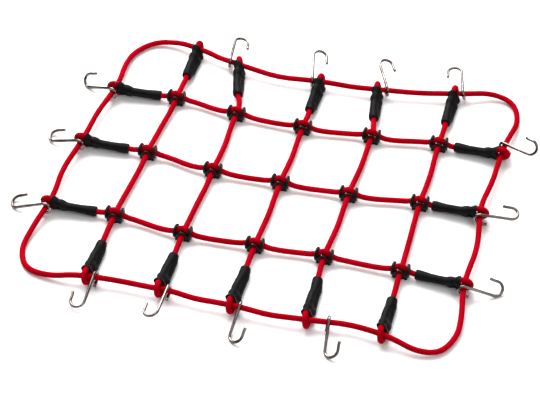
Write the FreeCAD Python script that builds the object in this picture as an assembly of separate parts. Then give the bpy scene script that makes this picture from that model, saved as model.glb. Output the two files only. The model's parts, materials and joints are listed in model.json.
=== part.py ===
import FreeCAD, Part
import math
import os

# Elastic luggage net for a small-scale roof rack: a red cord border, three long and five
# short cords, a three-eyed clip at each crossing, a sleeved loop at each cord end, and wire
# S-hooks whose eyes turn on the border cord.  Units are millimetres.  +X runs along the long
# side, +Y along the short side, +Z up.  The net lies flat, with the floor at Z = 0, and
# the origin is under the middle clip.

V = FreeCAD.Vector

# --- driving dimensions ------------------------------------------------------------------
CORD_D = 2.4            # elastic cord
WIRE_D = 1.3            # hook wire
FIT_GAP = 0.03          # sleeve and crimp channels are this much wider than the cord
RUN_SHARE = 0.45        # part of the shorter run that each corner arc takes

SEAT_Z = 4.1            # border cord centre where a loop goes round it
SEAT_HALF = 5.0         # half of the level stretch of border cord at each loop
JOINT_GAP = 0.05        # half the gap at the butt joint of the border cord

HUMP_HALF = 3.7         # long cord: from the crossing to where it leaves the clip
HUMP_FOOT_Z = 2.8
HUMP_TOP_Z = 6.6
DIP_HALF = 3.3          # short cord: the same, below the long cord
DIP_FOOT_Z = 3.05
DIP_LOW_Z = 3.1

LONG_EYE_X = 3.15       # clip eyes round the long cord
LONG_EYE_Z = 3.62
LONG_EYE_R = 2.3
LONG_EYE_SECTION_R = 0.52
SHORT_EYE_Y = 2.2       # clip eye round the short cord, and the open cradle behind it
SHORT_EYE_Z = 3.1
SHORT_EYE_R = 1.75
SHORT_EYE_SECTION_R = 0.4
CLIP_BASE = (6.8, 5.0, 0.6)
CLIP_BASE_CORNER = 1.8
CLIP_POST = (2.85, 2.05, 0.7, 3.1)       # x, y, radius, height of the dome's centre
CLIP_STEM = (0.7, 1.4)                  # radius and height of the stem under the eye
TRIM = 20.0                             # side of a trimming box, larger than any clip

# A loop's route in its own frame: s outwards from the border cord, t to the left, z up.
# From the net: over the border cord, round it, back under, and the tail beside the leg.
LOOP_LEG_IN = [(-18.5, 0.0, 2.75), (-12.5, 0.78, 3.7), (-6.5, 0.78, 3.95)]
LOOP_TURN = [(-1.5, 0.55, 6.7), (1.5, 0.4, 6.65), (2.95, 0.0, 4.1), (1.5, -0.4, 1.55), (-1.5, -0.55, 1.5)]
LOOP_TAIL = [(-6.5, -0.78, 1.95), (-11.5, -0.78, 1.9), (-16.0, -0.7, 1.95)]

# Sleeve outline: s, then the upper leg's t and z, the lower leg's t and z, and the radius.
SLEEVE = [
    (-20.5, 0.12, 2.90, -0.12, 2.60, 1.72),
    (-18.0, 0.30, 3.15, -0.40, 2.30, 1.72),
    (-15.0, 0.62, 3.50, -0.76, 1.92, 1.72),
    (-8.5, 0.78, 3.95, -0.78, 1.92, 1.72),
    (-6.6, 0.76, 4.25, -0.76, 2.02, 1.94),
    (-4.6, 0.66, 5.05, -0.66, 1.75, 1.64),
    (-2.0, 0.55, 6.25, -0.55, 1.62, 1.60),
]
SLEEVE_EVEN_S = -8.5    # inwards of this, a sleeve is stretched or shrunk to its own length
SLEEVE_SHORTER = {      # hand-cut lengths: how much sooner the net end comes; minus is later
    "back_0": 2.8, "back_1": 2.0, "back_2": 2.4, "back_3": 2.8, "back_4": 2.2,
    "front_2": -1.6, "front_3": -3.2,
}
CRIMP = [
    (-7.6, 0.78, 4.05, -0.78, 1.95, 1.5),
    (-5.7, 0.72, 4.55, -0.72, 1.90, 1.5),
]
BORDER_NOTCH_R = 1.3    # the sleeve's mouth is hollowed for the border cord
NOTCH_HALF = 8.0

EYE_R = 2.2             # hook: centre-line radius of the eye
EYE_LEG = 3.3           # straight end of the eye, under the border cord
SHANK = 12.6            # straight stretch from the eye's centre to the bend
BEND_R = 3.0
TIP_LEG = 3.4
TIP_FLARE_R = 6.0
TIP_FLARE_DEG = 18.0

# --- places, chosen by hand ---------------------------------------------------------------
# Loop seats on the border cord, clockwise from above: name, x, y, direction of travel.
SEATS = {
    "back_0": (-56.8, 69.8, -13), "back_1": (-36.5, 64.7, -11), "back_2": (1.0, 63.6, 4),
    "back_3": (26.3, 65.4, 8), "back_4": (59.5, 71.8, 15),
    "right_2": (86.7, 40.8, -92.5), "right_1": (85.1, 4.2, -82), "right_0": (87.2, -36.6, -87),
    "front_4": (61.2, -71.8, 169), "front_3": (30.5, -72.3, 186), "front_2": (-0.8, -73.0, 180),
    "front_1": (-31.1, -72.2, 183), "front_0": (-61.5, -73.5, 186),
    "left_0": (-89.9, -37.8, 84), "left_1": (-88.5, 1.4, 85), "left_2": (-85.0, 36.0, 84),
}
# What the border cord passes between one seat and the next.
BORDER_BETWEEN = {
    "back_0": [(-46.7, 67.0, 3.6)],
    "back_1": [(-18.0, 62.0, 3.4)],
    "back_2": [(13.7, 64.4, 3.6)],
    "back_3": [(43.0, 68.2, 3.6)],
    "back_4": [(75.0, 78.0, 2.6), (85.3, 75.6, 1.6), (89.5, 64.5, 1.6), (87.9, 53.0, 3.4)],
    "right_2": [(86.3, 23.0, 3.6)],
    "right_1": [(88.1, -16.0, 3.6)],
    "right_0": [(89.5, -52.0, 2.4), (90.1, -62.5, 1.6), (85.5, -73.0, 1.5), (76.0, -75.2, 2.2)],
    "front_4": [(46.0, -69.9, 3.6)],
    "front_3": [(15.0, -73.6, 3.6)],
    "front_2": [(-16.0, -73.2, 3.6)],
    "front_1": [(-46.3, -72.0, 3.6)],
    "front_0": [(-77.0, -75.6, 1.8), (-88.0, -74.0, 1.4), (-93.3, -64.0, 1.4), (-92.5, -53.0, 2.2)],
    "left_0": [(-91.1, -18.0, 3.6)],
    "left_1": [(-87.9, 19.0, 3.6)],
    "left_2": [(-86.1, 51.5, 2.4), (-85.3, 62.5, 1.5), (-78.0, 71.6, 1.5), (-68.1, 72.8, 2.6)],
}
CROSSINGS = {
    (0, 0): (-61.5, -36.5), (1, 0): (-31.0, -39.0), (2, 0): (-0.5, -37.5), (3, 0): (28.5, -36.0),
    (4, 0): (60.5, -35.5),
    (0, 1): (-59.5, 2.5), (1, 1): (-29.5, -0.5), (2, 1): (0.0, 0.0), (3, 1): (29.5, 1.0),
    (4, 1): (59.5, 4.0),
    (0, 2): (-57.5, 38.0), (1, 2): (-29.5, 35.5), (2, 2): (0.5, 35.0), (3, 2): (30.5, 37.5),
    (4, 2): (59.5, 40.5),
}
# Long cords between their crossings, from left to right.
LONG_BETWEEN = {
    0: [[(-51.5, -36.9, 2.3), (-41.5, -38.7, 2.2)], [(-21.0, -38.8, 2.2), (-10.5, -38.2, 2.3)],
        [(9.5, -37.4, 2.3), (18.5, -36.3, 2.2)], [(38.5, -35.6, 2.2), (50.0, -35.9, 2.3)]],
    1: [[(-49.5, 2.2, 2.2), (-40.0, -0.2, 2.3)], [(-19.5, -0.8, 2.3), (-10.5, -0.3, 2.2)],
        [(9.5, -0.1, 2.2), (19.5, 0.8, 2.3)], [(39.5, 1.4, 2.3), (49.5, 3.4, 2.2)]],
    2: [[(-48.0, 37.8, 2.3), (-39.0, 36.0, 2.2)], [(-20.0, 34.8, 2.2), (-9.5, 34.7, 2.3)],
        [(10.0, 35.2, 2.3), (20.5, 36.9, 2.2)], [(40.0, 37.9, 2.2), (50.0, 40.1, 2.3)]],
}
# Short cords, from front to back: before the first crossing, between them, after the last.
SHORT_BETWEEN = {
    0: [[(-61.8, -46.5, 2.4)],
        [(-61.4, -27.0, 2.3), (-60.7, -17.0, 2.1), (-59.9, -7.0, 2.3)],
        [(-59.3, 12.0, 2.3), (-58.8, 20.5, 2.1), (-57.9, 28.5, 2.3)],
        [(-57.5, 47.0, 2.6)]],
    1: [[(-31.2, -47.5, 2.4)],
        [(-30.9, -29.5, 2.3), (-30.5, -19.5, 2.1), (-29.7, -10.0, 2.3)],
        [(-29.3, 8.5, 2.3), (-29.2, 17.5, 2.1), (-29.7, 26.0, 2.3)],
        [(-30.5, 43.5, 2.6)]],
    2: [[(-0.8, -47.0, 2.4)],
        [(-0.4, -28.0, 2.3), (0.0, -18.5, 2.1), (-0.2, -9.5, 2.3)],
        [(0.2, 9.0, 2.3), (0.6, 17.5, 2.1), (0.3, 25.5, 2.3)],
        [(0.6, 42.0, 2.6)]],
    3: [[(28.8, -46.5, 2.4)],
        [(28.8, -26.5, 2.3), (29.4, -17.5, 2.1), (29.3, -8.5, 2.3)],
        [(29.8, 10.5, 2.3), (30.4, 19.0, 2.1), (30.4, 28.0, 2.3)],
        [(29.7, 43.5, 2.6)]],
    4: [[(60.7, -46.0, 2.4)],
        [(60.2, -26.0, 2.3), (59.9, -16.0, 2.1), (59.5, -6.0, 2.3)],
        [(59.7, 13.5, 2.3), (59.9, 22.5, 2.1), (59.5, 31.0, 2.3)],
        [(59.5, 48.5, 2.6)]],
}
# Hooks: the seat they hang beside, how far along the border cord (positive is clockwise),
# turn of the hook from square to the cord, lean of the eye, lean of the bend, and how far
# the hook is held up from the floor.  A lean is measured from upright, positive towards the
# left of the way that the hook points.
HOOKS = {
    "hook_back_1": ("back_1", -4.7, 20, -5, -98, 11),
    "hook_back_2": ("back_2", -4.0, 8, -8, -105, 24),
    "hook_back_3": ("back_3", 3.9, 19, -4, -105, 24),
    "hook_back_4": ("back_4", 3.8, -5, 12, 92, 15),
    "hook_right_2": ("right_2", -4.0, -20, 4, 38, 32),
    "hook_right_1": ("right_1", 3.8, 2, 10, 84, 15),
    "hook_right_0": ("right_0", 3.8, 6, 10, 50, 0),
    "hook_front_3": ("front_3", -8.8, -2, 10, 62, 0),
    "hook_front_2": ("front_2", -3.8, -2, 10, 67, 0),
    "hook_front_1": ("front_1", -4.0, 0, -5, -105, 14),
    "hook_front_0": ("front_0", -3.8, -6, -10, -100, 5),
    "hook_left_0": ("left_0", -4.0, 12, -4, -76, 0),
    "hook_left_1": ("left_1", -3.8, 0, -8, -80, 0),
    "hook_left_2": ("left_2", -3.8, -8, -10, -42, 0),
}


# --- routes -------------------------------------------------------------------------------
def heading(angle_deg):
    """Unit vector in the floor plane."""
    return V(math.cos(math.radians(angle_deg)), math.sin(math.radians(angle_deg)), 0)


def seat_point(name, along=0.0):
    """A point on the level stretch of border cord at a seat."""
    x, y, travel = SEATS[name]
    return V(x, y, SEAT_Z) + heading(travel) * along


def border_route():
    names = list(SEATS)
    points = [seat_point(names[0], JOINT_GAP), seat_point(names[0], SEAT_HALF)]
    for name, following in zip(names, names[1:] + names[:1]):
        points += [V(*p) for p in BORDER_BETWEEN[name]]
        points.append(seat_point(following, -SEAT_HALF))
        if following != names[0]:
            points.append(seat_point(following, SEAT_HALF))
    points.append(seat_point(names[0], -JOINT_GAP))
    return points


def loop_frame(seat, crossing):
    """Way out along a cord end, way to its left, and how far it is from square to the border."""
    x, y, travel = SEATS[seat]
    cx, cy = CROSSINGS[crossing]
    out_deg = math.degrees(math.atan2(y - cy, x - cx))
    skew = math.radians(out_deg - travel - 90)
    return heading(out_deg), heading(out_deg + 90), 1 / math.cos(skew)


def loop_points(seat, crossing, side):
    """A cord end from the net to its tail; side is 1 or -1, the way the outgoing leg leans."""
    out, left, stretch = loop_frame(seat, crossing)
    foot = seat_point(seat)
    points = []
    for group, scale in ((LOOP_LEG_IN, 1), (LOOP_TURN, stretch), (LOOP_TAIL, 1)):
        for s, t, z in group:
            p = foot + out * (s * scale) + left * (t * side)
            points.append(V(p.x, p.y, z))
    return points


def hump(column, row):
    x, y = CROSSINGS[(column, row)]
    return [V(x - HUMP_HALF, y, HUMP_FOOT_Z), V(x, y, HUMP_TOP_Z), V(x + HUMP_HALF, y, HUMP_FOOT_Z)]


def dip(column, row):
    x, y = CROSSINGS[(column, row)]
    return [V(x, y - DIP_HALF, DIP_FOOT_Z), V(x, y, DIP_LOW_Z), V(x, y + DIP_HALF, DIP_FOOT_Z)]


def long_route(row):
    points = loop_points(f"left_{row}", (0, row), 1)[::-1]
    for column in range(5):
        points += hump(column, row)
        if column < 4:
            points += [V(*p) for p in LONG_BETWEEN[row][column]]
    return points + loop_points(f"right_{row}", (4, row), -1)


def short_route(column):
    points = loop_points(f"front_{column}", (column, 0), -1)[::-1]
    for row in range(3):
        points += [V(*p) for p in SHORT_BETWEEN[column][row]]
        points += dip(column, row)
    points += [V(*p) for p in SHORT_BETWEEN[column][3]]
    return points + loop_points(f"back_{column}", (column, 2), 1)


# --- solids -------------------------------------------------------------------------------
def rounded_path(points):
    """Straight runs joined by tangent arcs; returns the wire and the arc radii."""
    edges = []
    radii = []
    last = points[0]
    for before, corner, after in zip(points, points[1:], points[2:]):
        way_in = (corner - before).normalize()
        way_out = (after - corner).normalize()
        half_turn = way_in.getAngle(way_out) / 2
        cut = RUN_SHARE * min((corner - before).Length, (after - corner).Length)
        radius = cut / math.tan(half_turn)
        start = corner - way_in * cut
        end = corner + way_out * cut
        bisector = (way_out - way_in).normalize()
        middle = corner + bisector * (radius / math.cos(half_turn) - radius)
        edges.append(Part.LineSegment(last, start).toShape())
        edges.append(Part.Arc(start, middle, end).toShape())
        radii.append(radius)
        last = end
    edges.append(Part.LineSegment(last, points[-1]).toShape())
    return Part.Wire(edges), radii


def swept(path, radius):
    start = path.Edges[0]
    tangent = start.tangentAt(start.FirstParameter)
    disc = Part.Wire(Part.makeCircle(radius, start.valueAt(start.FirstParameter), tangent))
    return path.makePipeShell([disc], True, False)


def cord(name, points):
    path, radii = rounded_path(points)
    solid = swept(path, CORD_D / 2)
    filled = math.pi * (CORD_D / 2) ** 2 * path.Length
    print(f"{name}: length {path.Length:.1f}, volume over section x length {solid.Volume / filled:.5f}")
    print("   bend radii", " ".join(f"{r:.1f}" for r in radii))
    return solid


def stadium(s, upper, lower, radius, place):
    """Outline round two cord legs, square to the way out."""
    up = V(0, upper[0], upper[1])
    low = V(0, lower[0], lower[1])
    along = (up - low).normalize()
    across = V(0, along.z, -along.y)
    corners = [up + across * radius, low + across * radius, low - across * radius, up - across * radius]
    mids = [low - along * radius, up + along * radius]
    shift = V(s, 0, 0)
    a, b, c, d = [place(p + shift) for p in corners]
    low_mid, up_mid = [place(p + shift) for p in mids]
    edges = [Part.LineSegment(a, b).toShape(), Part.Arc(b, low_mid, c).toShape(),
             Part.LineSegment(c, d).toShape(), Part.Arc(d, up_mid, a).toShape()]
    return Part.Wire(edges)


def band(sections, place):
    outlines = [stadium(s, (ut, uz), (lt, lz), r, place) for s, ut, uz, lt, lz, r in sections]
    return Part.makeLoft(outlines, True, True)


def sleeve_sections(seat):
    shorter = SLEEVE_SHORTER.get(seat, 0)
    reach = SLEEVE_EVEN_S - SLEEVE[0][0]
    return [(s + shorter * max(0, SLEEVE_EVEN_S - s) / reach, *rest) for s, *rest in SLEEVE]


def sleeve_and_crimp(seat, crossing, side):
    out, left, stretch = loop_frame(seat, crossing)
    foot = seat_point(seat)

    def place(p):
        q = foot + out * p.x + left * (p.y * side)
        return V(q.x, q.y, p.z)

    channel = swept(rounded_path(cord_end(seat, crossing, side))[0], CORD_D / 2 + FIT_GAP)
    start = seat_point(seat, -NOTCH_HALF)
    border = Part.makeCylinder(BORDER_NOTCH_R, 2 * NOTCH_HALF, start, heading(SEATS[seat][2]))
    crimp = band(CRIMP, place)
    sleeve = band(sleeve_sections(seat), place).cut(crimp).cut(channel).cut(border)
    return sleeve, crimp.cut(channel)


def cord_end(seat, crossing, side):
    """The end of a cord's route, starting far enough inside the net to shape the sleeve."""
    kind, index = seat.split("_")
    if kind in ("left", "right"):
        route = long_route(int(index))
    else:
        route = short_route(int(index))
    if kind in ("left", "front"):
        route = route[::-1]
    count = len(LOOP_LEG_IN) + len(LOOP_TURN) + len(LOOP_TAIL)
    return route[-count - 1:]


def clip(x, y):
    """Eyes on a rounded base: two round the long cord, one in front round the short cord,
    and an open cradle under the short cord behind."""
    base = Part.makeBox(*CLIP_BASE, V(-CLIP_BASE[0] / 2, -CLIP_BASE[1] / 2, 0))
    upright = [e for e in base.Edges if abs(e.tangentAt(e.FirstParameter).z) > 0.9]
    body = base.makeFillet(CLIP_BASE_CORNER, upright)
    px, py, pr, ph = CLIP_POST
    stem_r, stem_h = CLIP_STEM
    pieces = []
    for side in (-1, 1):
        centre = V(side * LONG_EYE_X, 0, LONG_EYE_Z)
        pieces.append(Part.makeTorus(LONG_EYE_R, LONG_EYE_SECTION_R, centre, V(1, 0, 0)))
        centre = V(0, side * SHORT_EYE_Y, SHORT_EYE_Z)
        ring = Part.makeTorus(SHORT_EYE_R, SHORT_EYE_SECTION_R, centre, V(0, 1, 0))
        if side > 0:
            ring = ring.common(Part.makeBox(TRIM, TRIM, SHORT_EYE_Z, V(-TRIM / 2, -TRIM / 2, 0)))
        pieces.append(ring)
        pieces.append(Part.makeCylinder(stem_r, stem_h, V(0, side * (SHORT_EYE_Y - stem_r / 2), 0)))
        for end in (-1, 1):
            pieces.append(Part.makeCylinder(pr, ph, V(side * px, end * py, 0)))
            pieces.append(Part.makeSphere(pr, V(side * px, end * py, ph)))
    for piece in pieces:
        body = body.fuse(piece)
    above_floor = Part.makeBox(TRIM, TRIM, TRIM, V(-TRIM / 2, -TRIM / 2, 0))
    body = body.common(above_floor).removeSplitter()
    body.translate(V(x, y, 0))
    return body


def border_at(path, guess):
    """Nearest point of the border cord's centre line, and its direction there."""
    best = None
    for edge in path.Edges:
        gap, pairs, info = edge.distToShape(Part.Vertex(guess))
        if best is None or gap < best[0]:
            best = (gap, edge, pairs[0][0])
    gap, edge, point = best
    tangent = edge.tangentAt(edge.Curve.parameter(point))
    return point, tangent.normalize()


def hook_path(centre, tangent, turn, eye_lean, bend_lean, pitch):
    """Wire centre line: end of the eye, eye, shank, bend, tip."""
    flat_out = FreeCAD.Rotation(V(0, 0, 1), 90 + turn).multVec(V(tangent.x, tangent.y, 0).normalize())
    swing = FreeCAD.Rotation(tangent, pitch)
    out = swing.multVec(flat_out)
    level_left = V(-flat_out.y, flat_out.x, 0)
    up = out.cross(swing.multVec(level_left)).normalize()
    left = up.cross(out).normalize()

    def lean(angle):
        return up * math.cos(math.radians(angle)) + left * math.sin(math.radians(angle))

    side = lean(eye_lean)
    bend_side = lean(bend_lean)
    leg_end = centre + out * EYE_LEG - side * EYE_R
    eye_low = centre - side * EYE_R
    eye_mid = centre - out * EYE_R
    eye_top = centre + side * EYE_R
    bend_start = eye_top + out * SHANK
    bend_centre = bend_start + bend_side * BEND_R
    bend_mid = bend_centre + out * BEND_R
    bend_end = bend_centre + bend_side * BEND_R
    tip_start = bend_end - out * (TIP_LEG / 2)
    flare = math.radians(TIP_FLARE_DEG)
    flare_centre = tip_start + bend_side * TIP_FLARE_R

    def on_flare(angle):
        return flare_centre - out * (TIP_FLARE_R * math.sin(angle)) - bend_side * (TIP_FLARE_R * math.cos(angle))

    edges = [
        Part.LineSegment(leg_end, eye_low).toShape(),
        Part.Arc(eye_low, eye_mid, eye_top).toShape(),
        Part.LineSegment(eye_top, bend_start).toShape(),
        Part.Arc(bend_start, bend_mid, bend_end).toShape(),
        Part.LineSegment(bend_end, tip_start).toShape(),
        Part.Arc(tip_start, on_flare(flare / 2), on_flare(flare)).toShape(),
    ]
    return Part.Wire(edges)


def resting_pitch(*place):
    """Swing the hook down on its eye until the wire just clears the floor, in halving steps."""
    low, high = -60.0, 30.0
    for _ in range(24):
        pitch = (low + high) / 2
        points = [p for e in hook_path(*place, pitch).Edges for p in e.discretize(24)]
        if min(p.z for p in points) > WIRE_D / 2:
            high = pitch
        else:
            low = pitch
    return high


def hook(border_path, seat, along, turn, eye_lean, bend_lean, lift):
    centre, tangent = border_at(border_path, seat_point(seat, along))
    place = (centre, tangent, turn, eye_lean, bend_lean)
    pitch = resting_pitch(*place) + lift
    return swept(hook_path(*place, pitch), WIRE_D / 2), centre, tangent, pitch


def cord_ends():
    """Every sleeved end: seat, nearest crossing, and the way the outgoing leg leans."""
    ends = []
    for row in range(3):
        ends.append((f"left_{row}", (0, row), 1))
        ends.append((f"right_{row}", (4, row), -1))
    for column in range(5):
        ends.append((f"front_{column}", (column, 0), -1))
        ends.append((f"back_{column}", (column, 2), 1))
    return ends


def build():
    shapes = {}
    places = {}
    border_points = border_route()
    border_path = rounded_path(border_points)[0]
    shapes["border_cord"] = cord("border_cord", border_points)
    for row in range(3):
        shapes[f"long_cord_{row}"] = cord(f"long_cord_{row}", long_route(row))
    for column in range(5):
        shapes[f"short_cord_{column}"] = cord(f"short_cord_{column}", short_route(column))
    for (column, row), (x, y) in CROSSINGS.items():
        shapes[f"cross_clip_{column}_{row}"] = clip(x, y)
    crimps = []
    for seat, crossing, side in cord_ends():
        sleeve, crimp = sleeve_and_crimp(seat, crossing, side)
        shapes[f"end_sleeve_{seat}"] = sleeve
        crimps += crimp.Solids
    shapes["end_crimps"] = Part.makeCompound(crimps)
    for name, settings in HOOKS.items():
        solid, centre, tangent, pitch = hook(border_path, *settings)
        shapes[name] = solid
        places[name] = (centre, tangent)
        print(f"{name}: eye at {centre.x:.2f} {centre.y:.2f} {centre.z:.2f}, pitch {pitch:.1f}, "
              f"lowest point {solid.optimalBoundingBox().ZMin:.3f}")
    return shapes, places


def main():
    os.makedirs("parts", exist_ok=True)
    shapes, places = build()
    for name, shape in shapes.items():
        shape.exportStep(f"parts/{name}.step")
    print(len(shapes), "nodes")


if __name__ == "__main__":
    main()
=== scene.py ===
import json
import math
import bpy
import bmesh
from mathutils import Matrix, Vector, noise


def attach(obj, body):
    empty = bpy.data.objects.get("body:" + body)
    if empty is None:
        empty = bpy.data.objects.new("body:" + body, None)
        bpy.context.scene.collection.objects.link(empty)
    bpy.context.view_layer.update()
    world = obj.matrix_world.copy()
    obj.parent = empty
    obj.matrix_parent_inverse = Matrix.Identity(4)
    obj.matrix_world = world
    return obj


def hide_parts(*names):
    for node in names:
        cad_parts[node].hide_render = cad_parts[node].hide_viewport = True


# Looks of an elastic luggage net: red cords, moulded clips, shrunk sleeves and wire S-hooks.
# Tables and routes are in millimetres, as the CAD has them; meshes and curves are in metres.
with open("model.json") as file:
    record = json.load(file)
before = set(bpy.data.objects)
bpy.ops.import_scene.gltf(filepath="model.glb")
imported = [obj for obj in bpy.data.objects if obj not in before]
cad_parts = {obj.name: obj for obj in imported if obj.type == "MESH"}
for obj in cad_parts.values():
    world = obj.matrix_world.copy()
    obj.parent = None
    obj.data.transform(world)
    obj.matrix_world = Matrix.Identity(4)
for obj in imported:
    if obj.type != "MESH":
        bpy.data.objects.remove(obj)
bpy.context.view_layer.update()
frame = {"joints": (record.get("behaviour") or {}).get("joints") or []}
MM = 0.001

CORD_R = 1.2 * MM
WIRE_R = 0.65 * MM
COLUMNS = 5
ROWS = 3

# --- routes, as in the CAD ------------------------------------------------------------------
SEAT_Z = 4.1
SEAT_HALF = 5.0
JOINT_GAP = 0.05
HUMP_HALF = 3.7
HUMP_FOOT_Z = 2.8
HUMP_TOP_Z = 6.6
DIP_HALF = 3.3
DIP_FOOT_Z = 3.05
DIP_LOW_Z = 3.1
# A cord's looped end: how far out from the seat, how far aside, and the height.
LOOP_LEG_IN = [(-18.5, 0.0, 2.75), (-12.5, 0.78, 3.7), (-6.5, 0.78, 3.95)]
LOOP_TURN = [
    (-1.5, 0.55, 6.7), (1.5, 0.4, 6.65), (2.95, 0.0, 4.1), (1.5, -0.4, 1.55), (-1.5, -0.55, 1.5),
]
LOOP_TAIL = [(-6.5, -0.78, 1.95), (-11.5, -0.78, 1.9), (-16.0, -0.7, 1.95)]
# Where each cord end loops the border cord: x, y and the border cord's heading in degrees.
SEATS = {
    "back_0": (-56.8, 69.8, -13), "back_1": (-36.5, 64.7, -11), "back_2": (1.0, 63.6, 4),
    "back_3": (26.3, 65.4, 8), "back_4": (59.5, 71.8, 15),
    "right_2": (86.7, 40.8, -92.5), "right_1": (85.1, 4.2, -82), "right_0": (87.2, -36.6, -87),
    "front_4": (61.2, -71.8, 169), "front_3": (30.5, -72.3, 186), "front_2": (-0.8, -73.0, 180),
    "front_1": (-31.1, -72.2, 183), "front_0": (-61.5, -73.5, 186),
    "left_0": (-89.9, -37.8, 84), "left_1": (-88.5, 1.4, 85), "left_2": (-85.0, 36.0, 84),
}
# The border cord's points after each seat, on the way to the next.
BORDER_BETWEEN = {
    "back_0": [(-46.7, 67.0, 3.6)],
    "back_1": [(-18.0, 62.0, 3.4)],
    "back_2": [(13.7, 64.4, 3.6)],
    "back_3": [(43.0, 68.2, 3.6)],
    "back_4": [(75.0, 78.0, 2.6), (85.3, 75.6, 1.6), (89.5, 64.5, 1.6), (87.9, 53.0, 3.4)],
    "right_2": [(86.3, 23.0, 3.6)],
    "right_1": [(88.1, -16.0, 3.6)],
    "right_0": [(89.5, -52.0, 2.4), (90.1, -62.5, 1.6), (85.5, -73.0, 1.5), (76.0, -75.2, 2.2)],
    "front_4": [(46.0, -69.9, 3.6)],
    "front_3": [(15.0, -73.6, 3.6)],
    "front_2": [(-16.0, -73.2, 3.6)],
    "front_1": [(-46.3, -72.0, 3.6)],
    "front_0": [(-77.0, -75.6, 1.8), (-88.0, -74.0, 1.4), (-93.3, -64.0, 1.4), (-92.5, -53.0, 2.2)],
    "left_0": [(-91.1, -18.0, 3.6)],
    "left_1": [(-87.9, 19.0, 3.6)],
    "left_2": [(-86.1, 51.5, 2.4), (-85.3, 62.5, 1.5), (-78.0, 71.6, 1.5), (-68.1, 72.8, 2.6)],
}
CROSSINGS = {
    (0, 0): (-61.5, -36.5), (1, 0): (-31.0, -39.0), (2, 0): (-0.5, -37.5), (3, 0): (28.5, -36.0),
    (4, 0): (60.5, -35.5),
    (0, 1): (-59.5, 2.5), (1, 1): (-29.5, -0.5), (2, 1): (0.0, 0.0), (3, 1): (29.5, 1.0),
    (4, 1): (59.5, 4.0),
    (0, 2): (-57.5, 38.0), (1, 2): (-29.5, 35.5), (2, 2): (0.5, 35.0), (3, 2): (30.5, 37.5),
    (4, 2): (59.5, 40.5),
}
LONG_BETWEEN = {
    0: [[(-51.5, -36.9, 2.3), (-41.5, -38.7, 2.2)], [(-21.0, -38.8, 2.2), (-10.5, -38.2, 2.3)],
        [(9.5, -37.4, 2.3), (18.5, -36.3, 2.2)], [(38.5, -35.6, 2.2), (50.0, -35.9, 2.3)]],
    1: [[(-49.5, 2.2, 2.2), (-40.0, -0.2, 2.3)], [(-19.5, -0.8, 2.3), (-10.5, -0.3, 2.2)],
        [(9.5, -0.1, 2.2), (19.5, 0.8, 2.3)], [(39.5, 1.4, 2.3), (49.5, 3.4, 2.2)]],
    2: [[(-48.0, 37.8, 2.3), (-39.0, 36.0, 2.2)], [(-20.0, 34.8, 2.2), (-9.5, 34.7, 2.3)],
        [(10.0, 35.2, 2.3), (20.5, 36.9, 2.2)], [(40.0, 37.9, 2.2), (50.0, 40.1, 2.3)]],
}
SHORT_BETWEEN = {
    0: [[(-61.8, -46.5, 2.4)],
        [(-61.4, -27.0, 2.3), (-60.7, -17.0, 2.1), (-59.9, -7.0, 2.3)],
        [(-59.3, 12.0, 2.3), (-58.8, 20.5, 2.1), (-57.9, 28.5, 2.3)],
        [(-57.5, 47.0, 2.6)]],
    1: [[(-31.2, -47.5, 2.4)],
        [(-30.9, -29.5, 2.3), (-30.5, -19.5, 2.1), (-29.7, -10.0, 2.3)],
        [(-29.3, 8.5, 2.3), (-29.2, 17.5, 2.1), (-29.7, 26.0, 2.3)],
        [(-30.5, 43.5, 2.6)]],
    2: [[(-0.8, -47.0, 2.4)],
        [(-0.4, -28.0, 2.3), (0.0, -18.5, 2.1), (-0.2, -9.5, 2.3)],
        [(0.2, 9.0, 2.3), (0.6, 17.5, 2.1), (0.3, 25.5, 2.3)],
        [(0.6, 42.0, 2.6)]],
    3: [[(28.8, -46.5, 2.4)],
        [(28.8, -26.5, 2.3), (29.4, -17.5, 2.1), (29.3, -8.5, 2.3)],
        [(29.8, 10.5, 2.3), (30.4, 19.0, 2.1), (30.4, 28.0, 2.3)],
        [(29.7, 43.5, 2.6)]],
    4: [[(60.7, -46.0, 2.4)],
        [(60.2, -26.0, 2.3), (59.9, -16.0, 2.1), (59.5, -6.0, 2.3)],
        [(59.7, 13.5, 2.3), (59.9, 22.5, 2.1), (59.5, 31.0, 2.3)],
        [(59.5, 48.5, 2.6)]],
}
# Turn on the floor, lean of the eye, lean of the bend, and lift above the floor, in degrees.
HOOKS = {
    "hook_back_1": (20, -5, -98, 11),
    "hook_back_2": (8, -8, -105, 24),
    "hook_back_3": (19, -4, -105, 24),
    "hook_back_4": (-5, 12, 92, 15),
    "hook_right_2": (-20, 4, 38, 32),
    "hook_right_1": (2, 10, 84, 15),
    "hook_right_0": (6, 10, 50, 0),
    "hook_front_3": (-2, 10, 62, 0),
    "hook_front_2": (-2, 10, 67, 0),
    "hook_front_1": (0, -5, -105, 14),
    "hook_front_0": (-6, -10, -100, 5),
    "hook_left_0": (12, -4, -76, 0),
    "hook_left_1": (0, -8, -80, 0),
    "hook_left_2": (-8, -10, -42, 0),
}
# Cord lengths in metres, from the CAD.
LENGTHS = {
    "border_cord": 0.6400,
    "long_cord_0": 0.2361, "long_cord_1": 0.2329, "long_cord_2": 0.2311,
    "short_cord_0": 0.1936, "short_cord_1": 0.1884, "short_cord_2": 0.1866, "short_cord_3": 0.1882,
    "short_cord_4": 0.1939,
}


def heading(angle_deg):
    return Vector((math.cos(math.radians(angle_deg)), math.sin(math.radians(angle_deg)), 0))


def seat_point(name, along=0.0):
    x, y, travel = SEATS[name]
    return Vector((x, y, SEAT_Z)) + heading(travel) * along


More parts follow.
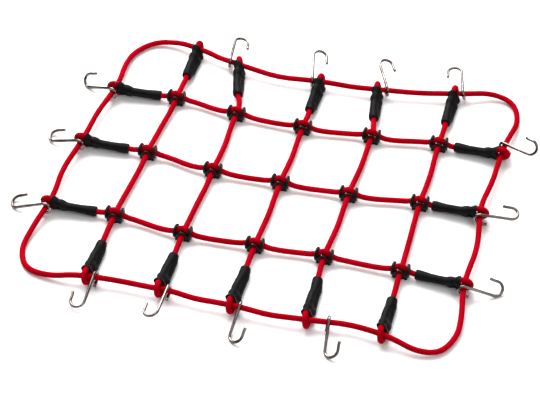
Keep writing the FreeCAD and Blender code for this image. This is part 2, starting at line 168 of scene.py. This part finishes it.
def border_route():
    names = list(SEATS)
    points = [seat_point(names[0], JOINT_GAP), seat_point(names[0], SEAT_HALF)]
    for name, following in zip(names, names[1:] + names[:1]):
        points += [Vector(p) for p in BORDER_BETWEEN[name]]
        points.append(seat_point(following, -SEAT_HALF))
        if following != names[0]:
            points.append(seat_point(following, SEAT_HALF))
    points.append(seat_point(names[0], -JOINT_GAP))
    return points


def loop_frame(seat, crossing):
    """Way out along a cord end, way to its left, and how far it is from square to the border."""
    x, y, travel = SEATS[seat]
    cx, cy = CROSSINGS[crossing]
    out_deg = math.degrees(math.atan2(y - cy, x - cx))
    skew = math.radians(out_deg - travel - 90)
    return heading(out_deg), heading(out_deg + 90), 1 / math.cos(skew)


def loop_points(seat, crossing, side):
    out, left, stretch = loop_frame(seat, crossing)
    foot = seat_point(seat)
    points = []
    for group, scale in ((LOOP_LEG_IN, 1), (LOOP_TURN, stretch), (LOOP_TAIL, 1)):
        for s, t, z in group:
            p = foot + out * (s * scale) + left * (t * side)
            points.append(Vector((p.x, p.y, z)))
    return points


def hump(column, row):
    x, y = CROSSINGS[(column, row)]
    return [Vector((x - HUMP_HALF, y, HUMP_FOOT_Z)), Vector((x, y, HUMP_TOP_Z)),
            Vector((x + HUMP_HALF, y, HUMP_FOOT_Z))]


def dip(column, row):
    x, y = CROSSINGS[(column, row)]
    return [Vector((x, y - DIP_HALF, DIP_FOOT_Z)), Vector((x, y, DIP_LOW_Z)),
            Vector((x, y + DIP_HALF, DIP_FOOT_Z))]


def long_route(row):
    points = loop_points(f"left_{row}", (0, row), 1)[::-1]
    for column in range(COLUMNS):
        points += hump(column, row)
        if column < COLUMNS - 1:
            points += [Vector(p) for p in LONG_BETWEEN[row][column]]
    return points + loop_points(f"right_{row}", (COLUMNS - 1, row), -1)


def short_route(column):
    points = loop_points(f"front_{column}", (column, 0), -1)[::-1]
    for row in range(ROWS):
        points += [Vector(p) for p in SHORT_BETWEEN[column][row]]
        points += dip(column, row)
    points += [Vector(p) for p in SHORT_BETWEEN[column][ROWS]]
    return points + loop_points(f"back_{column}", (column, ROWS - 1), 1)


# --- material helpers -----------------------------------------------------------------------
NOISE_LOW = 0.3
NOISE_HIGH = 0.7
NOISE_ROUGHNESS = 0.55


class Nodes:
    """A short way to write a node material."""

    def __init__(self, name):
        self.material = bpy.data.materials.new(name)
        self.material.use_nodes = True
        self.tree = self.material.node_tree
        self.shader = self.tree.nodes["Principled BSDF"]

    def put(self, value, socket):
        if isinstance(value, bpy.types.NodeSocket):
            self.tree.links.new(value, socket)
        else:
            socket.default_value = value

    def add(self, kind, inputs=None, **settings):
        node = self.tree.nodes.new("ShaderNode" + kind)
        for key, value in settings.items():
            setattr(node, key, value)
        for key, value in (inputs or {}).items():
            self.put(value, node.inputs[key])
        return node

    def coords(self, kind="Object"):
        return self.add("TexCoord").outputs[kind]

    def noise(self, vector, scale, detail):
        """Noise, with its scale in waves to a metre."""
        inputs = {"Vector": vector, "Scale": scale, "Detail": detail, "Roughness": NOISE_ROUGHNESS}
        return self.add("TexNoise", inputs).outputs["Fac"]

    def spread(self, value, to_low, to_high):
        """A noise value, stretched to run from to_low to to_high."""
        inputs = {0: value, 1: NOISE_LOW, 2: NOISE_HIGH, 3: to_low, 4: to_high}
        return self.add("MapRange", inputs).outputs[0]

    def calc(self, operation, a, b=0.0):
        return self.add("Math", {0: a, 1: b}, operation=operation).outputs[0]

    def total(self, *parts):
        """Sum of values, each times its weight."""
        terms = [self.calc("MULTIPLY", value, weight) for value, weight in parts]
        result = terms[0]
        for term in terms[1:]:
            result = self.calc("ADD", result, term)
        return result

    def wave(self, at, count=1):
        return self.calc("SINE", self.calc("MULTIPLY", at, count * 2 * math.pi))

    def ramp(self, value, stops):
        node = self.add("ValToRGB", {"Fac": value})
        elements = node.color_ramp.elements
        while len(elements) < len(stops):
            elements.new(0.5)
        for element, (place, colour) in zip(elements, stops):
            element.position = place
            element.color = (*colour, 1)
        return node.outputs["Color"]

    def bump(self, height, strength, distance, normal=None):
        inputs = {"Height": height, "Strength": strength, "Distance": distance}
        if normal is not None:
            inputs["Normal"] = normal
        return self.add("Bump", inputs).outputs["Normal"]

    def finish(self, **inputs):
        for key, value in inputs.items():
            self.put(value, self.shader.inputs[key.replace("_", " ")])
        return self.material


# Colour stops, each a place on the ramp and a linear colour.
RED_TONES = [(0.18, (0.29, 0.0001, 0.003)), (0.38, (0.375, 0.0001, 0.008)), (0.6, (0.44, 0.0001, 0.012))]
SLEEVE_TONES = [
    (0.3, (0.0025, 0.0025, 0.0027)), (0.55, (0.004, 0.004, 0.004)), (0.75, (0.0068, 0.0066, 0.0065)),
]
CLIP_TONES = [(0.3, (0.002, 0.0028, 0.003)), (0.7, (0.004, 0.0055, 0.006))]
NICKEL_TONES = [(0.3, (0.085, 0.065, 0.059)), (0.5, (0.18, 0.156, 0.145)), (0.8, (0.34, 0.32, 0.304))]
CUT_TONES = [(0.3, (0.10, 0.045, 0.04)), (0.6, (0.30, 0.17, 0.14)), (0.8, (0.42, 0.31, 0.27))]
CRIMP_TONES = [(0.3, (0.28, 0.28, 0.29)), (0.7, (0.45, 0.45, 0.46))]
FLOOR_TONES = [(0.3, (0.93, 0.93, 0.93)), (0.7, (0.96, 0.96, 0.96))]
# Ribs round a cord, their turns to each diameter of its length, and the same for the weave's
# waves, along it and round it.
RIB_COUNT = 16
RIB_LEAN = 0.05
WEAVE_ALONG = 3.1
WEAVE_ROUND = 4.0


def red_sheath(name, length):
    """Elastic cord in a smooth red sheath: fine ribs that run nearly lengthwise."""
    n = Nodes(name)
    uv = n.add("SeparateXYZ", {"Vector": n.coords("UV")})
    diameters = n.calc("MULTIPLY", uv.outputs["X"], length / (2 * CORD_R))
    turns = uv.outputs["Y"]
    place = n.coords()
    wander = n.spread(n.noise(place, 90, 2), -0.05, 0.05)
    ribs = n.wave(n.total((diameters, RIB_LEAN), (turns, 1), (wander, 1)), RIB_COUNT)
    weave = n.wave(n.total((diameters, WEAVE_ALONG), (turns, WEAVE_ROUND)))
    height = n.total((ribs, 0.5), (weave, 0.12), (n.noise(place, 2600, 2), 0.5))
    # The sheath's own uneven red, plus painted shade from the ribs: lighter on each rib's crest and
    # darker in its groove, in step with the bump.
    tone_and_rib_shade = n.total((n.noise(place, 60, 4), 0.7), (ribs, 0.05))
    return n.finish(Base_Color=n.ramp(tone_and_rib_shade, RED_TONES),
                    Roughness=n.spread(n.noise(place, 500, 3), 0.5, 0.65),
                    Normal=n.bump(height, 0.35, 0.06 * MM), Specular_IOR_Level=0.005)


def shrink_sleeve():
    n = Nodes("shrink_sleeve")
    place = n.coords()
    waves = n.bump(n.noise(place, 420, 3), 0.5, 0.12 * MM)
    return n.finish(Base_Color=n.ramp(n.noise(place, 150, 3), SLEEVE_TONES),
                    Roughness=n.spread(n.noise(place, 260, 3), 0.5, 0.68),
                    Normal=n.bump(n.noise(place, 3600, 2), 0.35, 0.02 * MM, waves),
                    Specular_IOR_Level=0.08)


def clip_plastic():
    n = Nodes("clip_plastic")
    place = n.coords()
    return n.finish(Base_Color=n.ramp(n.noise(place, 300, 3), CLIP_TONES),
                    Roughness=n.spread(n.noise(place, 700, 3), 0.34, 0.48),
                    Normal=n.bump(n.noise(place, 2200, 3), 0.25, 0.03 * MM), Specular_IOR_Level=0.16)


def nickel_wire():
    n = Nodes("nickel_wire")
    place = n.coords()
    return n.finish(Base_Color=n.ramp(n.noise(place, 220, 3), NICKEL_TONES), Metallic=1.0,
                    Roughness=n.spread(n.noise(place, 900, 3), 0.08, 0.18),
                    Normal=n.bump(n.noise(place, 5200, 2), 0.12, 0.02 * MM))


def cut_wire():
    n = Nodes("cut_wire")
    place = n.coords()
    return n.finish(Base_Color=n.ramp(n.noise(place, 2500, 3), CUT_TONES), Metallic=0.8,
                    Roughness=n.spread(n.noise(place, 3000, 2), 0.4, 0.65),
                    Normal=n.bump(n.noise(place, 4000, 2), 0.5, 0.03 * MM))


def crimp_steel():
    n = Nodes("crimp_steel")
    place = n.coords()
    return n.finish(Base_Color=n.ramp(n.noise(place, 900, 3), CRIMP_TONES), Metallic=1.0,
                    Roughness=n.spread(n.noise(place, 1500, 3), 0.3, 0.5),
                    Normal=n.bump(n.noise(place, 3000, 2), 0.3, 0.02 * MM))


def pale_floor():
    n = Nodes("pale_floor")
    place = n.coords()
    return n.finish(Base_Color=n.ramp(n.noise(place, 8, 3), FLOOR_TONES), Roughness=0.7,
                    Specular_IOR_Level=0.1, Normal=n.bump(n.noise(place, 60, 2), 0.05, 0.5 * MM))


# --- mesh helpers ---------------------------------------------------------------------------
def link(obj):
    bpy.context.scene.collection.objects.link(obj)
    return obj


def to_object(name, bm, materials):
    bmesh.ops.recalc_face_normals(bm, faces=bm.faces)
    mesh = bpy.data.meshes.new(name)
    bm.to_mesh(mesh)
    bm.free()
    for material in materials:
        mesh.materials.append(material)
    mesh.polygons.foreach_set("use_smooth", [True] * len(mesh.polygons))
    return link(bpy.data.objects.new(name, mesh))


def add_rings(bm, rings, capped=False):
    """Skins a list of rings, each a list of points; returns the cap faces."""
    rows = [[bm.verts.new(p) for p in ring] for ring in rings]
    count = len(rows[0])
    for before, after in zip(rows, rows[1:]):
        for i in range(count):
            j = (i + 1) % count
            bm.faces.new((before[i], before[j], after[j], after[i]))
    return [bm.faces.new(rows[0][::-1]), bm.faces.new(rows[-1])] if capped else []


def ease(value, low, high):
    x = min(1.0, max(0.0, (value - low) / (high - low)))
    return x * x * (3 - 2 * x)


def table_value(table, at, column):
    """Smooth reading of a given table whose first column rises."""
    for a, b in zip(table, table[1:]):
        if at <= b[0]:
            return a[column] + (b[column] - a[column]) * ease(at, a[0], b[0])
    return table[-1][column]


# --- cords ----------------------------------------------------------------------------------
def cord_curve(name, route):
    curve = bpy.data.curves.new(name, "CURVE")
    curve.dimensions = "3D"
    spline = curve.splines.new("NURBS")
    spline.points.add(len(route) - 1)
    for point, place in zip(spline.points, route):
        point.co = (*(place * MM), 1)
    spline.order_u = 3
    spline.use_endpoint_u = True
    spline.resolution_u = 14
    curve.bevel_depth = CORD_R
    curve.bevel_resolution = 7
    curve.use_fill_caps = True
    obj = link(bpy.data.objects.new(name + "_looks", curve))
    obj.data.materials.append(red_sheath(name + "_sheath", LENGTHS[name]))
    return obj


def centreline(obj):
    """Points of a cord's own spline, with no bevel."""
    bare = bpy.data.objects.new("bare", obj.data.copy())
    bare.data.bevel_depth = 0
    mesh = bpy.data.meshes.new_from_object(bare)
    line = [v.co.copy() for v in mesh.vertices]
    bpy.data.meshes.remove(mesh)
    bpy.data.curves.remove(bare.data)
    return line


cords = {"border_cord": cord_curve("border_cord", border_route())}
for row in range(ROWS):
    cords[f"long_cord_{row}"] = cord_curve(f"long_cord_{row}", long_route(row))
for column in range(COLUMNS):
    cords[f"short_cord_{column}"] = cord_curve(f"short_cord_{column}", short_route(column))
lines = {name: centreline(obj) for name, obj in cords.items()}
on_cord = {name: [] for name in cords}


# --- sleeves --------------------------------------------------------------------------------
# s along the sleeve (0 is the border cord), radius round each leg, share of the way that the
# lower side has gone from the upper leg to the lower one, waist between the legs, and how
# much the outline is spread sideways.
SLEEVE = [
    (-20.55, 1.72, 0.02, 0.0, 0.0),
    (-20.48, 1.95, 0.03, 0.0, 0.0),
    (-20.25, 2.10, 0.05, 0.0, 0.0),
    (-19.4, 2.16, 0.14, 0.0, 0.0),
    (-18.4, 2.14, 0.30, 0.0, 0.0),
    (-17.3, 2.06, 0.58, 0.0, 0.0),
    (-16.0, 1.92, 0.90, 0.04, 0.0),
    (-14.4, 1.78, 1.0, 0.12, 0.0),
    (-11.0, 1.70, 1.0, 0.18, 0.0),
    (-8.4, 1.70, 1.0, 0.16, 0.0),
    (-7.5, 1.74, 1.0, 0.10, 0.0),
    (-7.05, 1.92, 1.0, 0.03, 0.0),
    (-6.2, 2.00, 1.0, 0.0, 0.0),
    (-5.4, 1.95, 1.0, 0.03, 0.0),
    (-4.9, 1.70, 1.0, 0.16, 0.0),
    (-4.2, 1.46, 1.0, 0.30, 0.02),
    (-3.4, 1.50, 1.0, 0.16, 0.14),
    (-2.7, 1.60, 1.0, 0.02, 0.24),
    (-1.95, 1.64, 1.0, 0.0, 0.27),
    (-1.8, 1.60, 1.0, 0.0, 0.27),
]
SLEEVE_START_S = SLEEVE[0][0]
SLEEVE_END_S = SLEEVE[-1][0]
SLEEVE_FINE_STEP = 0.14
SLEEVE_PLAIN_STEP = 0.4
SLEEVE_PLAIN_FROM_S = -18.6
SLEEVE_PLAIN_TO_S = -8.2
# Inside of the mouth (s, radius, spread), inside of the net end and crimp band (s, radius).
MOUTH_IN = [
    (-1.77, 1.45, 0.26), (-1.85, 1.38, 0.22), (-2.1, 1.32, 0.15), (-2.6, 1.28, 0.08), (-3.6, 1.25, 0.0),
]
NET_IN = [(-18.6, 1.24), (-19.6, 1.26), (-20.3, 1.34), (-20.5, 1.45)]
NET_IN_SHARE = 0.05
CRIMP = [(-7.3, 1.32), (-7.2, 1.45), (-6.4, 1.5), (-5.7, 1.45), (-5.6, 1.32)]
TAIL_END = -15.6
# The sleeve is shortened on the net's side of this s, by so much for these seats.
SLEEVE_EVEN_S = -8.5
SLEEVE_SHORTER = {
    "back_0": 2.8, "back_1": 2.0, "back_2": 2.4, "back_3": 2.8, "back_4": 2.2,
    "front_2": -1.6, "front_3": -3.2,
}
READ_FROM_S = -26
HALF_TURN_STEPS = 12
FLANK_STEPS = 4
FULL_WAIST_GAP = 1.5
SLANT_FROM_S = -5.0
SLANT_TO_S = -1.4
LOWEST_Z = 0.12


class Legs:
    """The two legs of a cord's looped end, read from the cord's own line."""

    def __init__(self, seat, crossing, side, line):
        self.out, left, _ = loop_frame(seat, crossing)
        self.left = left * side
        self.foot = seat_point(seat)
        travel = heading(SEATS[seat][2])
        self.skew = travel.dot(self.out) / travel.dot(self.left)
        local = []
        for p in line:
            q = p / MM - self.foot
            local.append((q.dot(self.out), q.dot(self.left), p.z / MM))
        near = [i for i, q in enumerate(local) if q[0] > READ_FROM_S]
        far = max(near, key=lambda i: local[i][0])
        halves = [sorted(local[i] for i in near if i <= far), sorted(local[i] for i in near if i >= far)]
        self.upper, self.lower = sorted(halves, key=lambda h: -max(q[2] for q in h if q[0] < -3))

    @staticmethod
    def read(leg, s):
        for a, b in zip(leg, leg[1:]):
            if s <= b[0]:
                k = (s - a[0]) / max(b[0] - a[0], 1e-9)
                return Vector((a[1] + (b[1] - a[1]) * k, a[2] + (b[2] - a[2]) * k))
        return Vector(leg[-1][1:])

    def ring(self, s, radius, share=1.0, waist=0.0, spread=0.0, rough=None):
        """Outline round both legs at s, square to the way out, in metres."""
        high = self.read(self.upper, s)
        step = self.read(self.lower, max(s, TAIL_END)) - self.read(self.upper, max(s, TAIL_END))
        low = high + step * share
        along = -step.normalized()
        across = Vector((along.y, -along.x))
        full = min(1.0, (high - low).length / FULL_WAIST_GAP)
        flat = []
        for here, other, way in ((high, low, 1), (low, high, -1)):
            for k in range(HALF_TURN_STEPS + 1):
                a = math.pi * k / HALF_TURN_STEPS
                turned = across * (radius * math.cos(a)) + along * (radius * math.sin(a))
                flat.append(here + turned * way)
            for k in range(1, FLANK_STEPS):
                pinch = waist * math.sin(math.pi * k / FLANK_STEPS) * full
                flat.append(here + (other - here) * (k / FLANK_STEPS) - across * (way * (radius - pinch)))
        middle = (high + low) / 2
        slant = ease(s, SLANT_FROM_S, SLANT_TO_S)
        points = []
        for t, z in flat:
            t = middle.x + (t - middle.x) * (1 + spread)
            s_here = s + slant * t * self.skew
            place = self.foot + self.out * s_here + self.left * t
            if rough is not None:
                away = Vector((t, z)) - middle
                away = away / max(away.length, 1e-6)
                push = rough(Vector((place.x, place.y, z)))
                t, z = t + away.x * push, z + away.y * push
                place = self.foot + self.out * s_here + self.left * t
            points.append(Vector((place.x, place.y, max(z, LOWEST_Z))) * MM)
        return points


def sleeve_stations():
    """Where the sleeve's table is read: close together where its shape changes fast."""
    stations = []
    s = SLEEVE_START_S
    while s < SLEEVE_END_S - 1e-6:
        stations.append(s)
        plain = SLEEVE_PLAIN_FROM_S <= s <= SLEEVE_PLAIN_TO_S
        s += SLEEVE_PLAIN_STEP if plain else SLEEVE_FINE_STEP
    return stations + [SLEEVE_END_S]


def sleeve(seat, legs, seed):
    shift = Vector((seed * 17.3, seed * 5.1, 0))

    def rough(p):
        return 0.10 * noise.noise((p + shift) * 0.42) + 0.05 * noise.noise((p + shift) * 1.1)

    shorter = SLEEVE_SHORTER.get(seat, 0) / (SLEEVE_EVEN_S - SLEEVE_START_S)

    def cut(s):
        return s + shorter * max(0, SLEEVE_EVEN_S - s)

    rings = [legs.ring(cut(s), radius, NET_IN_SHARE) for s, radius in NET_IN]
    for s in sleeve_stations():
        row = [table_value(SLEEVE, s, column) for column in (1, 2, 3, 4)]
        rings.append(legs.ring(cut(s), *row, rough=rough))
    for s, radius, spread in MOUTH_IN:
        rings.append(legs.ring(s, radius, spread=spread))
    bm = bmesh.new()
    add_rings(bm, rings)
    return to_object(f"sleeve_{seat}", bm, [sleeve_looks])


sleeve_looks = shrink_sleeve()
clip_looks = clip_plastic()
wire_looks = nickel_wire()
end_looks = cut_wire()
crimp_looks = crimp_steel()
# Each looped end: seat, nearest crossing, side that the cord's own leg is on, cord, and whether
# it is the start of the cord.
ends = []
for row in range(ROWS):
    ends.append((f"left_{row}", (0, row), 1, f"long_cord_{row}", True))
    ends.append((f"right_{row}", (COLUMNS - 1, row), -1, f"long_cord_{row}", False))
for column in range(COLUMNS):
    ends.append((f"front_{column}", (column, 0), -1, f"short_cord_{column}", True))
    ends.append((f"back_{column}", (column, ROWS - 1), 1, f"short_cord_{column}", False))
crimp_bm = bmesh.new()
for seed, (seat, crossing, side, cord_name, at_start) in enumerate(ends, 1):
    line = lines[cord_name]
    middle = len(line) // 2
    legs = Legs(seat, crossing, side, line[:middle] if at_start else line[middle:])
    obj = sleeve(seat, legs, seed)
    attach(obj, "net")
    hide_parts(f"end_sleeve_{seat}")
    on_cord[cord_name].append(obj)
    add_rings(crimp_bm, [legs.ring(s, radius) for s, radius in CRIMP], capped=True)
crimps = to_object("crimp_bands", crimp_bm, [crimp_looks])
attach(crimps, "net")
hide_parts("end_crimps")


# --- clips ----------------------------------------------------------------------------------
# Places are from the crossing's foot on the floor; pieces at the sides and ends come in pairs.
LONG_EYE_AT = (3.13, 0, 3.62)
LONG_EYE_TOE = 0.07
LONG_EYE = (2.27, 0.66)
SHORT_EYE_AT = (0, -2.2, 3.1)
SHORT_EYE_AXIS = (-0.06, 1, 0.05)
SHORT_EYE = (1.80, 0.50)
CRADLE_AT = (0, 2.2, 3.1)
CRADLE = (1.74, 0.42)
CRADLE_TOP_Z = 3.0
STEM_AT = (0, 1.85, 0.75)
STEM_FOOT_R = 0.85
STEM_TOP_R = 0.55
STEM_HEIGHT = 1.4
WALL_AT = (2.4, 0, 1.15)
WALL_SIZE = (1.2, 3.8, 2.0)
POST_AT = (2.5, 1.6, 1.65)
POST_R = 0.72
POST_HEIGHT = 3.0
KNOB_AT = (2.75, 1.9, 3.1)
BASE_HALF = (3.0, 2.3)
BASE_SQUARENESS = 0.95
BASE_THICK = 0.6
BASE_MIDDLE_Z = 0.34
MELT_VOXEL = 0.13
CLIP_LOWEST_Z = 0.03


def torus(bm, centre, axis, radius, section, around=48, sides=16):
    """Torus in millimetres, put into a mesh in metres."""
    turn = Vector(axis).to_track_quat("Z", "Y")
    middle, radius, section = Vector(centre) * MM, radius * MM, section * MM
    rows = []
    for i in range(around):
        a = 2 * math.pi * i / around
        ring = []
        for j in range(sides):
            b = 2 * math.pi * j / sides
            r = radius + section * math.cos(b)
            spot = Vector((r * math.cos(a), r * math.sin(a), section * math.sin(b)))
            ring.append(bm.verts.new(middle + turn @ spot))
        rows.append(ring)
    for i in range(around):
        row, following = rows[i], rows[(i + 1) % around]
        for j in range(sides):
            k = (j + 1) % sides
            bm.faces.new((row[j], following[j], following[k], row[k]))


def cone(bm, at, foot_r, top_r, height):
    made = bmesh.ops.create_cone(bm, cap_ends=True, segments=20, radius1=foot_r * MM,
                                 radius2=top_r * MM, depth=height * MM)
    bmesh.ops.translate(bm, verts=made["verts"], vec=Vector(at) * MM)


def add_cradle(bm):
    """Lower half of an eye, open at the top."""
    half = bmesh.new()
    torus(half, CRADLE_AT, (0, 1, 0), *CRADLE)
    found = bmesh.ops.bisect_plane(half, geom=half.verts[:] + half.edges[:] + half.faces[:],
                                   plane_co=(0, 0, CRADLE_TOP_Z * MM), plane_no=(0, 0, 1),
                                   clear_outer=True)
    rims = [e for e in found["geom_cut"] if isinstance(e, bmesh.types.BMEdge)]
    bmesh.ops.holes_fill(half, edges=rims)
    mesh = bpy.data.meshes.new("cradle")
    half.to_mesh(mesh)
    half.free()
    bm.from_mesh(mesh)
    bpy.data.meshes.remove(mesh)


def add_base(bm):
    """Base plate, an ellipse drawn out a little towards its corners."""
    plate = bmesh.ops.create_cone(bm, cap_ends=True, segments=64, radius1=1, radius2=1, depth=BASE_THICK)
    for v in plate["verts"]:
        for axis, half_side in enumerate(BASE_HALF):
            v.co[axis] = math.copysign(abs(v.co[axis]) ** BASE_SQUARENESS, v.co[axis]) * half_side * MM
        v.co.z = (v.co.z + BASE_MIDDLE_Z) * MM


def clip_mesh():
    """Rounded base, posts, three eyes and an open cradle, melted into one moulding."""
    bm = bmesh.new()
    for side in (-1, 1):
        x, y, z = LONG_EYE_AT
        torus(bm, (side * x, y, z), (1, LONG_EYE_TOE * side, 0), *LONG_EYE)
        x, y, z = STEM_AT
        cone(bm, (x, side * y, z), STEM_FOOT_R, STEM_TOP_R, STEM_HEIGHT)
        wall = bmesh.ops.create_cube(bm, size=1)
        bmesh.ops.scale(bm, verts=wall["verts"], vec=Vector(WALL_SIZE) * MM)
        x, y, z = WALL_AT
        bmesh.ops.translate(bm, verts=wall["verts"], vec=Vector((side * x, y, z)) * MM)
        for end in (-1, 1):
            x, y, z = POST_AT
            cone(bm, (side * x, end * y, z), POST_R, POST_R, POST_HEIGHT)
            knob = bmesh.ops.create_uvsphere(bm, u_segments=16, v_segments=10, radius=POST_R * MM)
            x, y, z = KNOB_AT
            bmesh.ops.translate(bm, verts=knob["verts"], vec=Vector((side * x, end * y, z)) * MM)
    torus(bm, SHORT_EYE_AT, SHORT_EYE_AXIS, *SHORT_EYE)
    add_cradle(bm)
    add_base(bm)
    obj = to_object("clip_shape", bm, [clip_looks])
    remesh = obj.modifiers.new("melt", "REMESH")
    remesh.mode = "VOXEL"
    remesh.voxel_size = MELT_VOXEL * MM
    remesh.use_smooth_shade = True
    smooth = obj.modifiers.new("soften", "SMOOTH")
    smooth.factor = 0.5
    smooth.iterations = 3
    mesh = bpy.data.meshes.new_from_object(obj.evaluated_get(bpy.context.evaluated_depsgraph_get()))
    bpy.data.objects.remove(obj)
    for v in mesh.vertices:
        v.co.z = max(v.co.z, CLIP_LOWEST_Z * MM)
    mesh.name = "clip_moulding"
    return mesh


moulding = clip_mesh()
for (column, row), (x, y) in CROSSINGS.items():
    clip = link(bpy.data.objects.new(f"clip_{column}_{row}", moulding))
    clip.location = Vector((x, y, 0)) * MM
    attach(clip, "net")
    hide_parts(f"cross_clip_{column}_{row}")
    on_cord[f"long_cord_{row}"].append(clip)


# --- hooks ----------------------------------------------------------------------------------
EYE_R = 2.2
EYE_LEG = 3.3
SHANK = 12.6
BEND_R = 3.0
TIP_LEG = 3.4
TIP_FLARE_R = 6.0
TIP_FLARE_DEG = 18.0
STRAIGHT_STEP = 0.5
ARC_STEP_DEG = 7.5
FLARE_STEP_DEG = 4
WIRE_SIDES = 20
WIRE_DENT = 0.018
# Rings of a cut end: share of the wire's radius, and how far in from the cut.
CUT_RINGS = [(0.80, 0.0), (0.93, 0.06 * MM), (1.0, 0.16 * MM)]


def hook_line(centre, tangent, turn, eye_lean, bend_lean, pitch):
    """Wire centre line in metres, evenly drawn."""
    flat = Vector((tangent.x, tangent.y, 0)).normalized()
    flat_out = Matrix.Rotation(math.radians(90 + turn), 3, "Z") @ flat
    swing = Matrix.Rotation(math.radians(pitch), 3, tangent)
    out = swing @ flat_out
    level_left = Vector((-flat_out.y, flat_out.x, 0))
    up = out.cross(swing @ level_left).normalized()
    left = up.cross(out).normalized()

    def lean(angle):
        return up * math.cos(math.radians(angle)) + left * math.sin(math.radians(angle))

    side = lean(eye_lean)
    bend_side = lean(bend_lean)
    points = []

    def straight(a, b):
        count = max(2, round((b - a).length / STRAIGHT_STEP))
        points.extend(a + (b - a) * (k / count) for k in range(count))

    def arc(middle, start_way, end_way, radius, degrees, step=ARC_STEP_DEG):
        """Points of an arc without its last one; returns that one."""
        count = max(3, round(degrees / step))
        for k in range(count + 1):
            a = math.radians(degrees * k / count)
            points.append(middle + start_way * (radius * math.cos(a)) + end_way * (radius * math.sin(a)))
        return points.pop()

    straight(centre + out * EYE_LEG - side * EYE_R, centre - side * EYE_R)
    arc(centre, -side, -out, EYE_R, 180)
    eye_top = centre + side * EYE_R
    bend_start = eye_top + out * SHANK
    straight(eye_top, bend_start)
    bend_centre = bend_start + bend_side * BEND_R
    arc(bend_centre, -bend_side, out, BEND_R, 180)
    bend_end = bend_centre + bend_side * BEND_R
    tip_start = bend_end - out * (TIP_LEG / 2)
    straight(bend_end, tip_start)
    flare_centre = tip_start + bend_side * TIP_FLARE_R
    points.append(arc(flare_centre, -bend_side, -out, TIP_FLARE_R, TIP_FLARE_DEG, FLARE_STEP_DEG))
    return [p * MM for p in points]


def resting_pitch(*place):
    """Swing at which the hook just lies on the floor."""
    low, high = -60.0, 30.0
    for _ in range(24):
        pitch = (low + high) / 2
        if min(p.z for p in hook_line(*place, pitch)) > WIRE_R:
            high = pitch
        else:
            low = pitch
    return high


def wire(name, line, seed):
    """Round wire with a chamfered cut at each end, dented a very little."""
    tangents = []
    for i in range(len(line)):
        tangents.append((line[min(i + 1, len(line) - 1)] - line[max(i - 1, 0)]).normalized())
    normal = tangents[0].orthogonal().normalized()

    def ring(centre, tangent, up, radius):
        across = tangent.cross(up).normalized()
        points = []
        for k in range(WIRE_SIDES):
            a = 2 * math.pi * k / WIRE_SIDES
            way = up * math.cos(a) + across * math.sin(a)
            dent = 1 + WIRE_DENT * noise.noise(centre * 420 + way * 1.3 + Vector((seed, 0, 0)))
            points.append(centre + way * (radius * dent))
        return points

    rings = []
    for i, (p, t) in enumerate(zip(line, tangents)):
        normal = (normal - t * normal.dot(t)).normalized()
        if i == 0:
            places = [(p + t * inset, share) for share, inset in CUT_RINGS]
        elif i == len(line) - 1:
            places = [(p - t * inset, share) for share, inset in CUT_RINGS[::-1]]
        else:
            places = [(p, 1.0)]
        rings += [ring(centre, t, normal, WIRE_R * share) for centre, share in places]
    bm = bmesh.new()
    cut_faces = add_rings(bm, rings, capped=True)
    bm.faces.ensure_lookup_table()
    chamfer = WIRE_SIDES * (len(CUT_RINGS) - 1)
    sides_end = WIRE_SIDES * (len(rings) - 1)
    cut_faces += bm.faces[:chamfer] + bm.faces[sides_end - chamfer:sides_end]
    for face in cut_faces:
        face.material_index = 1
    return to_object(name, bm, [wire_looks, end_looks])


joint_of = {joint["child"]: joint for joint in frame["joints"]}
for seed, (name, (turn, eye_lean, bend_lean, lift)) in enumerate(HOOKS.items(), 1):
    centre = Vector(joint_of[name]["pos_m"]) / MM
    tangent = Vector(joint_of[name]["axis"])
    place = (centre, tangent, turn, eye_lean, bend_lean)
    obj = wire(name + "_wire", hook_line(*place, resting_pitch(*place) + lift), seed)
    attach(obj, name)
    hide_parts(name)

# --- what rides on the net --------------------------------------------------------------------
for name, obj in cords.items():
    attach(obj, "net")
    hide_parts(name)

# --- floor, light, camera ---------------------------------------------------------------------
FLOOR_SIZE = 6
SKY_DARK_AT = 0.32
SKY_DARK = 0.035
SKY_WHITE_AT = 0.72
SKY_STRENGTH = 0.8
EYE_AT = (0.1778, -0.6571, 0.6956)
LOOKED_AT = (-0.00187, -0.00988, 0)

bpy.ops.mesh.primitive_plane_add(size=FLOOR_SIZE, location=(0, 0, 0))
floor = bpy.context.object
floor.name = "floor"
floor.data.materials.append(pale_floor())


def facing(place, target):
    return (Vector(target) - Vector(place)).to_track_quat("-Z", "Y").to_euler()


def area_light(name, place, size, power):
    """Area light that faces the middle of the net."""
    light = bpy.data.lights.new(name, "AREA")
    light.shape = "RECTANGLE"
    light.size, light.size_y = size
    light.energy = power
    obj = link(bpy.data.objects.new(name, light))
    obj.location = place
    obj.rotation_euler = facing(place, (0, 0, 0))


area_light("key", (-0.45, 0.75, 0.95), (1.2, 1.0), 35)
area_light("fill", (0.9, -0.5, 0.9), (0.8, 0.8), 3.2)
world = bpy.data.worlds.new("studio")
world.use_nodes = True
bpy.context.scene.world = world
tree = world.node_tree
way = tree.nodes.new("ShaderNodeSeparateXYZ")
sky = tree.nodes.new("ShaderNodeValToRGB")
tree.links.new(tree.nodes.new("ShaderNodeTexCoord").outputs["Generated"], way.inputs["Vector"])
tree.links.new(way.outputs["Z"], sky.inputs["Fac"])
tree.links.new(sky.outputs["Color"], tree.nodes["Background"].inputs["Color"])
for element, at, grey in zip(sky.color_ramp.elements, (SKY_DARK_AT, SKY_WHITE_AT), (SKY_DARK, 1)):
    element.position = at
    element.color = (grey, grey, grey, 1)
tree.nodes["Background"].inputs["Strength"].default_value = SKY_STRENGTH

camera = bpy.data.cameras.new("camera")
camera.sensor_width = 36
camera.lens = 153.3
camera.clip_start = 0.05
camera.clip_end = 20
eye = link(bpy.data.objects.new("camera", camera))
eye.location = EYE_AT
eye.rotation_euler = facing(EYE_AT, LOOKED_AT)
bpy.context.scene.camera = eye
bpy.context.scene.view_settings.view_transform = "Standard"
